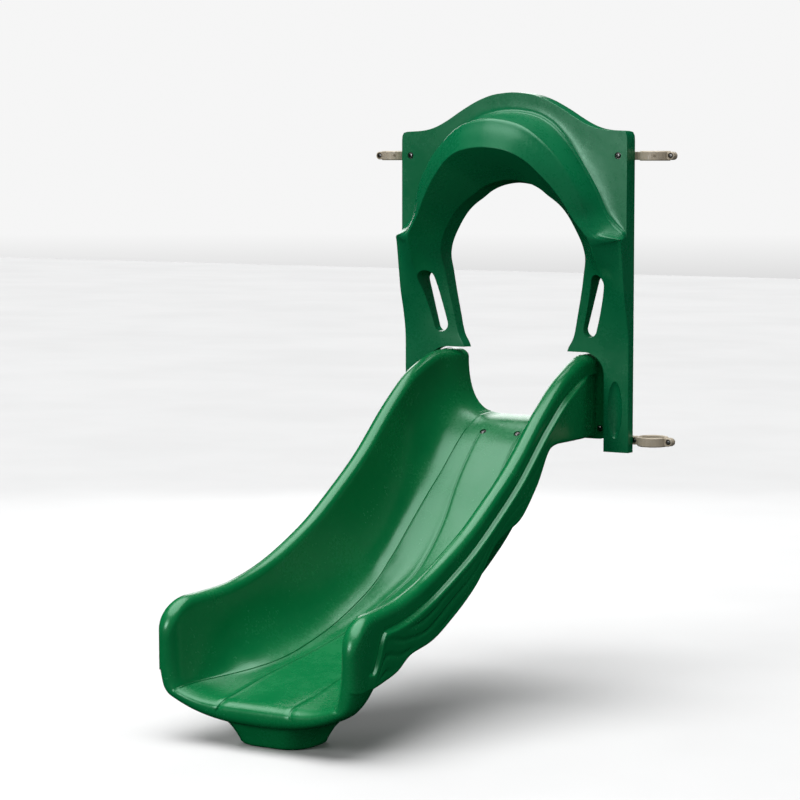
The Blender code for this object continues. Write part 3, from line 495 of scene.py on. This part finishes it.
def mirrored(draft):
    """Complete a half that stands open at x = 0."""
    copy = bmesh.ops.duplicate(draft, geom=draft.verts[:] + draft.edges[:] + draft.faces[:])
    fresh = [item for item in copy["geom"] if isinstance(item, bmesh.types.BMVert)]
    for vert in fresh:
        vert.co.x = -vert.co.x
    faces = [item for item in copy["geom"] if isinstance(item, bmesh.types.BMFace)]
    bmesh.ops.reverse_faces(draft, faces=faces)
    middle = [vert for vert in draft.verts if abs(vert.co.x) < 0.00005]
    bmesh.ops.remove_doubles(draft, verts=middle, dist=0.00005)
    return draft


def keep_mesh(name, draft):
    """Turn a draft into an object with its faces outward and its soft edges smooth."""
    bmesh.ops.recalc_face_normals(draft, faces=draft.faces)
    if draft.calc_volume(signed=True) < 0.0:
        bmesh.ops.reverse_faces(draft, faces=draft.faces)
    mesh = bpy.data.meshes.new(name)
    draft.to_mesh(mesh)
    draft.free()
    mesh.shade_smooth()
    mesh.set_sharp_from_angle(angle=radians(SHARP_ANGLE))
    item = bpy.data.objects.new(name, mesh)
    bpy.context.scene.collection.objects.link(item)
    return item


def discard(item):
    gone = item.data
    bpy.data.objects.remove(item)
    bpy.data.meshes.remove(gone)


def subtract(item, cutters):
    """Cut and bake, so that only the finished mesh is left."""
    for cutter in cutters:
        cut = item.modifiers.new("cut", "BOOLEAN")
        cut.operation = "DIFFERENCE"
        cut.solver = "EXACT"
        cut.object = cutter
    shaped = item.evaluated_get(bpy.context.evaluated_depsgraph_get())
    mesh = bpy.data.meshes.new_from_object(shaped)
    item.modifiers.clear()
    old = item.data
    item.data = mesh
    bpy.data.meshes.remove(old)
    for cutter in cutters:
        discard(cutter)
    item.data.shade_smooth()
    item.data.set_sharp_from_angle(angle=radians(SHARP_ANGLE))


def rod(radius, length, place, tilt=pi / 2):
    """A round cutter, which lies along the run unless it is tilted."""
    draft = bmesh.new()
    bmesh.ops.create_cone(draft, cap_ends=True, segments=40, radius1=radius,
                          radius2=radius, depth=length)
    spin = Matrix.Translation(place) @ Matrix.Rotation(tilt, 4, "X")
    bmesh.ops.transform(draft, matrix=spin, verts=draft.verts)
    return keep_mesh("cutter", draft)


def slab(outline, near, far):
    """A cutter with an outline in (x, z), between two runs."""
    rings = [[point(x, run, z) for x, z in outline] for run in (near, far)]
    return keep_mesh("cutter", loft(rings, True, "start end"))


def foot_outline(height, half_width, half_length):
    """A rectangle with round corners, at one height of the foot."""
    corner = FOOT_CORNER
    ring = []
    for way_x, way_y, start in ((1, 1, 0.0), (-1, 1, 90.0), (-1, -1, 180.0), (1, -1, 270.0)):
        for i in range(9):
            turn = radians(start + 90.0 * i / 8.0)
            ring.append(Vector((way_x * (half_width - corner) + corner * cos(turn),
                                way_y * (half_length - corner) + corner * sin(turn), height)))
    return ring


def bed_runs():
    """Where the bed's sections lie, closer together as the exit rounds over."""
    runs = []
    run = 0.020
    while run < NOSE_RUN - 0.005:
        runs.append(run)
        run += BED_STEP
    runs.append(NOSE_RUN)
    length = EXIT_RUN - NOSE_RUN
    runs += [NOSE_RUN + length * sin(radians(turn)) for turn in range(5, 90, 5)]
    return runs + [EXIT_RUN]


def make_foot():
    top = foot_outline(0.0, *FOOT_TOP)
    for place in top:
        place.z = soft(BED_HEIGHT, FOOT_RUN - place.y) - FOOT_SINK
    sections = [foot_outline(*row) for row in FOOT] + [top]
    return keep_mesh("foot_part", loft(sections, True, "start end"))


def bed_holes():
    """Cutters for the bolts of the flange, and for the sunk bolts in the sliding face."""
    across, run = BED_BOLT
    rise = (along(BED_HEIGHT, run + 0.002) - along(BED_HEIGHT, run - 0.002)) / 0.004
    normal = Vector((0.0, rise, 1.0)).normalized()
    tilt = atan2(-normal.y, normal.z)
    holes = []
    for side in (-1, 1):
        holes.append(rod(HOLE_RADIUS, 0.06, point(FLANGE_BOLT[0] * side, 0.007, FLANGE_BOLT[1])))
        spot = point(side * across, run, along(BED_HEIGHT, run))
        holes.append(rod(HOLE_RADIUS, 0.100, spot - normal * 0.020, tilt))
        holes.append(rod(BORE_RADIUS, 0.050, spot + normal * 0.018, tilt))
    return holes


def make_bed():
    rings = [bed_ring(0.0, True), bed_ring(FLANGE_THICK - 0.0015, True),
             bed_ring(FLANGE_THICK, True), bed_ring(FLANGE_THICK)]
    rings += [bed_ring(run) for run in bed_runs()]
    bed = keep_mesh("slide_bed_visual", mirrored(loft(rings, False, "start end")))
    foot = make_foot()
    join = bed.modifiers.new("join", "BOOLEAN")
    join.operation = "UNION"
    join.solver = "EXACT"
    join.object = foot
    subtract(bed, bed_holes())
    discard(foot)
    return bed


# ---------------------------------------------------------------- hood
def panel_reach(angle):
    """How far the panel reaches from the visor's hub at one angle."""
    way = Vector((cos(radians(angle)), sin(radians(angle))))
    if angle <= PANEL_CORNER_ANGLE:
        return PANEL_HALF / way.x
    hub = Vector((0.0, VISOR_HUB))
    for a, b in zip(PANEL_TOP, PANEL_TOP[1:]):
        start = Vector(a) - hub
        step = Vector(b) - Vector(a)
        across = way.x * step.y - way.y * step.x
        if abs(across) < 1e-9:
            continue
        reach = (start.x * step.y - start.y * step.x) / across
        part = (start.x * way.y - start.y * way.x) / across
        if -1e-6 <= part <= 1.0 + 1e-6 and reach > 0.0:
            return reach
    return PANEL_TOP[-1][1] - VISOR_HUB


def outline_reach(angle):
    """The panel's outline, softened along its wavy top only."""
    if angle < WAVY_ANGLE + 0.6:
        return panel_reach(angle)
    spread_by = min(2.0, angle - WAVY_ANGLE)
    total = 0.0
    for shift in (-1.0, -0.5, 0.0, 0.5, 1.0):
        seen = angle + shift * spread_by
        total += panel_reach(seen if seen <= 90.0 else 180.0 - seen)
    return total / 5.0


def toward(start, finish, distance):
    """A place on the way to another, never past its middle."""
    gap = finish - start
    return start + gap * min(distance / gap.length, 0.45)


def corner_of(before, corner, after, size):
    """A corner with a point on each side of it, so that rounding stays within that size."""
    return [toward(corner, before, size), corner, toward(corner, after, size)]


# Rounding of a column's front edge: how far in from its side, how far back from its front.
COLUMN_EDGE = ((0.0, 0.0100), (0.0, 0.0070), (0.0, 0.0040), (0.0006, 0.0018), (0.0022, 0.0006),
               (0.0045, 0.0), (0.0065, 0.0), (0.0085, 0.0), (0.0105, 0.0), (0.0125, 0.0))


def hood_section(side, front, crease, tunnel, spine=None, corner=None):
    """Section of the hood; above the notch it has a spine and a visor, below it hasn't."""
    back_out = Vector((side, PANEL_BACK))
    back_in = Vector((tunnel.x - 0.012, PANEL_BACK))
    if spine is None:
        before = [Vector((side - inset, front - setback)) for inset, setback in COLUMN_EDGE]
        corner = before[-1]
    else:
        front_out = Vector((side, PANEL_FRONT))
        base = Vector((min(spine.x + 0.010, side - 0.0030), PANEL_FRONT))
        before = corner_of(back_out, front_out, base, 0.0035)
        before += [base, toward(spine, base, 0.005) + Vector((0.001, 0.001)),
                   spine, toward(spine, corner, 0.004)]
        before += [toward(corner, spine, 0.016), corner, toward(corner, crease, 0.020)]
    bulge = (corner + crease) / 2.0 + Vector((0.0, 0.0025))
    section = corner_of(back_in, back_out, before[0], 0.003) + before + [bulge]
    section += corner_of(bulge, crease, tunnel, 0.007)
    section.append((crease + tunnel) / 2.0)
    section += corner_of(crease, tunnel, back_in, 0.006)
    section += corner_of(tunnel, back_in, back_out, 0.004)
    return cut_corners(section, True, 2)


def column_ring(height):
    """One level section of the right column."""
    crease = Vector((soft(COLUMN_CREASE_X, height, 0.02), soft(COLUMN_CREASE_RUN, height, 0.02)))
    tunnel = Vector((soft(COLUMN_INNER_X, height, 0.02), soft(COLUMN_INNER_RUN, height, 0.02)))
    section = hood_section(PANEL_HALF, soft(COLUMN_FRONT, height, 0.02), crease, tunnel)
    return [point(place.x, place.y, height) for place in section]


def arch_ring(angle):
    """One section of the right half of the arch, cut at an angle through the visor's hub."""
    crease = edge(VISOR_IN, angle)
    tunnel = edge(TUNNEL, angle)
    corner = edge(VISOR_OUT, angle)
    side = outline_reach(angle)
    if angle <= NOTCH_ANGLE:
        section = hood_section(side, corner.y, crease, tunnel)
    else:
        section = hood_section(side, corner.y, crease, tunnel, edge(RIDGE, angle), corner)
    ring = []
    for place in section:
        x = 0.0 if angle >= 90.0 else place.x * cos(radians(angle))
        ring.append(point(x, place.y, VISOR_HUB + place.x * sin(radians(angle))))
    return ring


def arch_angles():
    """Where the arch's sections lie, closer together just above the notch."""
    angles = [i * 1.4 for i in range(10)] + [NOTCH_ANGLE, 14.2, 14.7, 15.3, 16.0, 16.8, 17.6]
    angles += [18.5 + i * 1.1 for i in range(64)] + [90.0]
    return sorted(angles)


def clearance_cutter():
    """The room that the bed's end needs between the hood's legs."""
    inner = CLEARANCE_HALF - CLEARANCE_RADIUS
    outline = []
    for i in range(19):
        turn = radians(90.0 * i / 18.0)
        outline.append((inner + CLEARANCE_RADIUS * cos(turn),
                        CLEARANCE_TOP - CLEARANCE_RADIUS + CLEARANCE_RADIUS * sin(turn)))
    outline += [(-x, z) for x, z in reversed(outline)]
    outline += [(-CLEARANCE_HALF, 0.70), (CLEARANCE_HALF, 0.70)]
    return slab(outline, -0.10, 0.40)


# How the hand-hold's slot widens towards both faces: run, and how much its edge moves out.
HANDHOLD_FLARE = ((-0.10, 0.004), (0.019, 0.0), (0.045, 0.0), (0.060, 0.0015), (0.085, 0.0040),
                  (0.140, 0.0080))


def handhold_cutter(side):
    rings = [[point(x, run, z) for x, z in slot_outline(side, grow)]
             for run, grow in HANDHOLD_FLARE]
    return keep_mesh("cutter", loft(rings, True, "start end"))


def make_hood():
    rings = []
    height = HOOD_BOTTOM
    while height < VISOR_HUB - 0.006:
        rings.append(column_ring(height))
        height += HOOD_STEP
    rings += [arch_ring(angle) for angle in arch_angles()]
    hood = keep_mesh("hood_visual", mirrored(loft(rings, True, "start")))
    cutters = [clearance_cutter()]
    for side in (-1, 1):
        cutters.append(handhold_cutter(side))
        bolt = point(side * PANEL_BOLT_X, PANEL_FRONT, UPPER_CLAMP_Z)
        cutters.append(rod(HOLE_RADIUS, 0.300, bolt))
        cutters.append(rod(BORE_RADIUS, 0.0160, bolt))
        leg_bolt = point(side * PANEL_BOLT_X, PANEL_BACK, LOWER_CLAMP_Z)
        cutters.append(rod(HOLE_RADIUS, 0.056, leg_bolt))
        cutters.append(recess_cutter(side))
    subtract(hood, cutters)
    return hood


def slot_outline(side, grow):
    """The leaning slot of a hand-hold."""
    high = Vector((side * HANDHOLD_TOP[0], HANDHOLD_TOP[1]))
    low = Vector((side * HANDHOLD_LOW[0], HANDHOLD_LOW[1]))
    lean = atan2(high.x - low.x, high.y - low.y)
    outline = []
    for centre, start in ((high, 0.0), (low, 180.0)):
        for i in range(17):
            turn = radians(start + 180.0 * i / 16.0) - lean
            outline.append((centre.x + (HANDHOLD_RADIUS + grow) * cos(turn),
                            centre.y + (HANDHOLD_RADIUS + grow) * sin(turn)))
    return outline


def recess_cutter(side):
    """A shallow oval dish with sloping sides and a flat floor."""
    rings = []
    for share, run in ((1.10, LEG_FRONT + 0.004), (1.0, LEG_FRONT - 0.0030),
                       (0.86, LEG_FRONT - 0.0075), (0.70, LEG_FRONT - RECESS_DEPTH)):
        ring = []
        for i in range(48):
            turn = 2.0 * pi * i / 48.0
            x = side * RECESS[0] + RECESS_HALF[0] * share * cos(turn)
            z = RECESS[1] + RECESS_HALF[1] * (0.35 + 0.65 * share) * sin(turn)
            ring.append(point(x, run, z))
        rings.append(ring)
    return keep_mesh("cutter", loft(rings, True, "start end"))


# ---------------------------------------------------------------- finishes
def graph(name):
    """A new material, its node tree and its surface shader."""
    made = bpy.data.materials.new(name)
    made.use_nodes = True
    return made, made.node_tree, made.node_tree.nodes["Principled BSDF"]


def add(tree, kind, links=(), **values):
    """Add a node, set its properties and inputs, and feed the linked inputs."""
    item = tree.nodes.new(kind)
    for key, value in values.items():
        if key.startswith("in_"):
            label = key[3:].replace("_", " ")
            item.inputs[int(label) if label.isdigit() else label].default_value = value
        else:
            setattr(item, key, value)
    for label, source in links:
        tree.links.new(source, item.inputs[label])
    return item


def noise(tree, place, size, detail=4.0, roughness=0.6, stretch=(1.0, 1.0, 1.0)):
    """Noise whose lumps have about the given size in metres."""
    moved = add(tree, "ShaderNodeVectorMath", [(0, place)], operation="MULTIPLY")
    moved.inputs[1].default_value = stretch
    made = add(tree, "ShaderNodeTexNoise", [("Vector", moved.outputs[0])],
               in_Scale=1.0 / size, in_Detail=detail, in_Roughness=roughness)
    return made.outputs["Fac"]


def band(tree, source, low, high, to_low=0.0, to_high=1.0):
    """Map one range of values to another and keep within it."""
    made = add(tree, "ShaderNodeMapRange", [("Value", source)], clamp=True)
    for index, value in ((1, low), (2, high), (3, to_low), (4, to_high)):
        made.inputs[index].default_value = value
    return made.outputs[0]


def maths(tree, kind, a, b):
    """One sum of two values, either of which may come from another node."""
    made = add(tree, "ShaderNodeMath", operation=kind)
    for index, value in enumerate((a, b)):
        if isinstance(value, (int, float)):
            made.inputs[index].default_value = value
        else:
            tree.links.new(value, made.inputs[index])
    return made.outputs[0]


def mix(tree, share, a, b):
    """A colour between two, either of which may come from another node."""
    made = add(tree, "ShaderNodeMix", data_type="RGBA")
    tree.links.new(share, made.inputs["Factor"])
    for label, value in ((6, a), (7, b)):
        if isinstance(value, tuple):
            made.inputs[label].default_value = (*value, 1.0)
        else:
            tree.links.new(value, made.inputs[label])
    return made.outputs[2]


def bump(tree, height, distance, strength=1.0, under=None):
    """Relief of the given depth in metres, on top of another one if there is one."""
    made = add(tree, "ShaderNodeBump", [("Height", height)], in_Distance=distance,
               in_Strength=strength)
    if under is not None:
        tree.links.new(under, made.inputs["Normal"])
    return made.outputs["Normal"]


def surroundings(tree):
    """Place on the object, how pointed it is there, its facing, and the place's parts."""
    place = add(tree, "ShaderNodeTexCoord").outputs["Object"]
    shape = add(tree, "ShaderNodeNewGeometry")
    facing = add(tree, "ShaderNodeSeparateXYZ", [("Vector", shape.outputs["Normal"])])
    split = add(tree, "ShaderNodeSeparateXYZ", [("Vector", place)])
    return place, shape.outputs["Pointiness"], facing.outputs, split.outputs


PLASTIC_SHINE = 0.68
PLASTIC_TINT = (0.62, 1.0, 0.80, 1.0)
PLASTIC_IOR = 1.51


def moulded_plastic(name, base, deep, pale, gloss, slid_on):
    """Polyethylene from a sand-blasted mould: fine peel, slow waviness, dust and scuffs."""
    made, tree, surface = graph(name)
    place, point_out, facing, split = surroundings(tree)
    slow = noise(tree, place, 0.22, 3.0)
    fleck = noise(tree, place, 0.012, 5.0, 0.7)
    peel = noise(tree, place, 0.0016, 3.0, 0.55)
    ripple = noise(tree, place, 0.045, 2.0, 0.4)
    colour = mix(tree, band(tree, slow, 0.30, 0.70), deep, base)
    colour = mix(tree, band(tree, fleck, 0.50, 0.80, 0.0, 0.05), colour, pale)
    up = band(tree, facing["Z"], 0.35, 0.95)
    dust = maths(tree, "MULTIPLY", up, band(tree, noise(tree, place, 0.060, 6.0, 0.7),
                                            0.42, 0.72, 0.0, 0.06))
    worn = maths(tree, "MULTIPLY", band(tree, point_out, 0.56, 0.68),
                 band(tree, noise(tree, place, 0.020, 5.0, 0.7), 0.38, 0.62, 0.05, 0.25))
    colour = mix(tree, dust, colour, pale)
    colour = mix(tree, worn, colour, pale)
    rough = maths(tree, "ADD", band(tree, slow, 0.3, 0.7, gloss - 0.05, gloss + 0.05),
                  band(tree, fleck, 0.3, 0.8, -0.03, 0.06))
    rough = maths(tree, "ADD", rough, maths(tree, "MULTIPLY", dust, 0.9))
    rough = maths(tree, "ADD", rough, maths(tree, "MULTIPLY", worn, 0.25))
    height = maths(tree, "ADD", maths(tree, "MULTIPLY", peel, 0.12), maths(
        tree, "MULTIPLY", ripple, 0.50))
    if slid_on:
        lines = noise(tree, place, 0.010, 6.0, 0.75, (2.2, 0.045, 0.10))
        inside = band(tree, maths(tree, "ABSOLUTE", split["X"], 0.0), 0.24, 0.30, 1.0, 0.0)
        sliding = maths(tree, "MULTIPLY", inside, up)
        scuffs = maths(tree, "MULTIPLY", sliding, band(tree, lines, 0.56, 0.72, 0.0, 0.08))
        colour = mix(tree, scuffs, colour, pale)
        rough = maths(tree, "ADD", rough, maths(tree, "MULTIPLY", scuffs, 0.45))
        height = maths(tree, "SUBTRACT", height, maths(tree, "MULTIPLY", scuffs, 0.10))
    tree.links.new(colour, surface.inputs["Base Color"])
    tree.links.new(rough, surface.inputs["Roughness"])
    tree.links.new(bump(tree, height, 0.0011, 0.85), surface.inputs["Normal"])
    surface.inputs["Specular IOR Level"].default_value = PLASTIC_SHINE
    surface.inputs["Specular Tint"].default_value = PLASTIC_TINT
    surface.inputs["IOR"].default_value = PLASTIC_IOR
    return made


def coated_casting(name, base, pale, bare):
    """Powder coat on cast aluminium: fine grit, chipped edges, and painted shade that darkens its
    corners.
    """
    made, tree, surface = graph(name)
    place, point_out, _, _ = surroundings(tree)
    slow = noise(tree, place, 0.030, 3.0)
    grit = noise(tree, place, 0.0011, 4.0, 0.6)
    colour = mix(tree, band(tree, slow, 0.3, 0.7), base, pale)
    chips = maths(tree, "MULTIPLY", band(tree, point_out, 0.54, 0.62),
                  band(tree, noise(tree, place, 0.006, 5.0, 0.7), 0.52, 0.60))
    colour = mix(tree, chips, colour, bare)
    # Painted shade: the hollow, less pointed places are darkened towards a third of the coat's
    # colour.
    painted_corner_shade = band(tree, point_out, 0.42, 0.49, 0.5, 0.0)
    colour = mix(tree, painted_corner_shade, colour, tuple(value * 0.35 for value in base))
    tree.links.new(colour, surface.inputs["Base Color"])
    tree.links.new(maths(tree, "MULTIPLY", chips, 0.8), surface.inputs["Metallic"])
    tree.links.new(band(tree, noise(tree, place, 0.010), 0.3, 0.7, 0.36, 0.52),
                   surface.inputs["Roughness"])
    tree.links.new(bump(tree, grit, 0.00035, 0.8, bump(tree, slow, 0.0020, 0.4)),
                   surface.inputs["Normal"])
    return made


def stainless(name):
    """Dark weathered stainless steel with smears, fine turned lines and painted shade in its
    hollows.
    """
    made, tree, surface = graph(name)
    place, point_out, _, _ = surroundings(tree)
    smear = noise(tree, place, 0.006, 4.0, 0.65)
    lines = noise(tree, place, 0.0012, 4.0, 0.7, (1.0, 0.15, 1.0))
    colour = mix(tree, band(tree, smear, 0.35, 0.7), (0.13, 0.13, 0.13), (0.22, 0.22, 0.215))
    # Painted shade: the hollow, less pointed places are darkened towards near black.
    painted_hollow_shade = band(tree, point_out, 0.40, 0.48, 0.7, 0.0)
    colour = mix(tree, painted_hollow_shade, colour, (0.10, 0.09, 0.08))
    tree.links.new(colour, surface.inputs["Base Color"])
    surface.inputs["Metallic"].default_value = 1.0
    tree.links.new(band(tree, smear, 0.3, 0.75, 0.24, 0.42), surface.inputs["Roughness"])
    tree.links.new(bump(tree, lines, 0.00012, 0.7), surface.inputs["Normal"])
    return made


def plain_floor(name):
    """Pale matt floor with a faint unevenness."""
    made, tree, surface = graph(name)
    place = add(tree, "ShaderNodeTexCoord").outputs["Object"]
    slow = noise(tree, place, 1.6, 3.0)
    colour = mix(tree, band(tree, slow, 0.35, 0.65), (0.58, 0.58, 0.58), (0.61, 0.61, 0.61))
    tree.links.new(colour, surface.inputs["Base Color"])
    surface.inputs["Roughness"].default_value = 0.75
    tree.links.new(bump(tree, noise(tree, place, 0.004, 4.0), 0.0006, 0.4),
                   surface.inputs["Normal"])
    return made


# ---------------------------------------------------------------- the visual model
FINISHES = {
    "bed_plastic": moulded_plastic("bed_polyethylene", (0.0005, 0.152, 0.042),
                                   (0.0005, 0.136, 0.038), (0.05, 0.34, 0.16), 0.24, True),
    "hood_plastic": moulded_plastic("hood_polyethylene", (0.0010, 0.154, 0.056),
                                    (0.0008, 0.138, 0.049), (0.06, 0.30, 0.15), 0.28, False),
    "clamp_coating": coated_casting("clamp_coating", (0.40, 0.34, 0.25), (0.46, 0.395, 0.295),
                                    (0.55, 0.55, 0.54)),
    "hardware": stainless("stainless_steel"),
}


def show(item, node, slot_name):
    """Put a piece on the body in place of its CAD node."""
    item.data.materials.clear()
    item.data.materials.append(FINISHES[slot_name])
    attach(item, "root")
    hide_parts(node)


show(make_bed(), "slide_bed", "bed_plastic")
show(make_hood(), "hood", "hood_plastic")
for node_name, node_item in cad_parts.items():
    if node_name in ("slide_bed", "hood"):
        continue
    kind = "clamp_coating" if "_clamp_" in node_name else "hardware"
    for slot_item in node_item.material_slots:
        slot_item.material = FINISHES[kind]

# ---------------------------------------------------------------- floor, light and camera
MIDDLE = Vector((0.0, 0.69, 1.04))          # what the lamps and the camera point at
CAMERA_PLACE = (4.8495, -6.9812, 1.8715)
CAMERA_LENS = 122.0
CEILING_WAY = Vector((0.12, 0.06, -1.0))    # direction of the light from above
CEILING_SPREAD = 68.0                       # its softness in degrees
CEILING_POWER = 4.0
FLOOR_SIZE = 60.0

bpy.ops.mesh.primitive_plane_add(size=FLOOR_SIZE, location=(0.0, 0.0, 0.0))
floor = bpy.context.object
floor.name = "studio_floor"
floor.data.materials.append(plain_floor("studio_floor"))
floor.visible_diffuse = False
floor.visible_glossy = False


def lamp(name, place, target, size, power):
    """A soft rectangular lamp that points at a target."""
    light = bpy.data.lights.new(name, "AREA")
    light.shape = "RECTANGLE"
    light.size, light.size_y = size
    light.energy = power
    item = bpy.data.objects.new(name, light)
    item.location = place
    item.rotation_euler = (Vector(target) - Vector(place)).to_track_quat("-Z", "Y").to_euler()
    bpy.context.scene.collection.objects.link(item)


ceiling = bpy.data.lights.new("ceiling", "SUN")
ceiling.energy = CEILING_POWER
ceiling.angle = radians(CEILING_SPREAD)
ceiling_item = bpy.data.objects.new("ceiling", ceiling)
ceiling_item.rotation_euler = CEILING_WAY.to_track_quat("-Z", "Y").to_euler()
bpy.context.scene.collection.objects.link(ceiling_item)
lamp("front_key", (-1.8, -6.0, 3.2), MIDDLE, (2.4, 2.0), 165.0)
lamp("rear_fill", (-3.0, 5.0, 2.6), MIDDLE, (2.5, 2.5), 60.0)
world = bpy.data.worlds.new("studio")
world.use_nodes = True
sky = world.node_tree
way = add(sky, "ShaderNodeSeparateXYZ",
          [("Vector", add(sky, "ShaderNodeTexCoord").outputs["Generated"])])
glow = mix(sky, band(sky, way.outputs["Z"], 0.08, 0.40), (0.92, 0.92, 0.92), (0.22, 0.225, 0.23))
glow = mix(sky, band(sky, way.outputs["Z"], -0.10, -0.03), (0.10, 0.10, 0.10), glow)
sky.links.new(glow, sky.nodes["Background"].inputs["Color"])
sky.nodes["Background"].inputs["Strength"].default_value = 1.0
world.cycles_visibility.glossy = False
bpy.context.scene.world = world
bpy.context.scene.view_settings.view_transform = "Standard"

camera = bpy.data.cameras.new("camera")
camera.sensor_width = 36.0
camera.lens = CAMERA_LENS
viewer = bpy.data.objects.new("camera", camera)
viewer.location = CAMERA_PLACE
aim = MIDDLE - viewer.location
viewer.rotation_euler = aim.to_track_quat("-Z", "Y").to_euler()
bpy.context.scene.collection.objects.link(viewer)
bpy.context.scene.camera = viewer
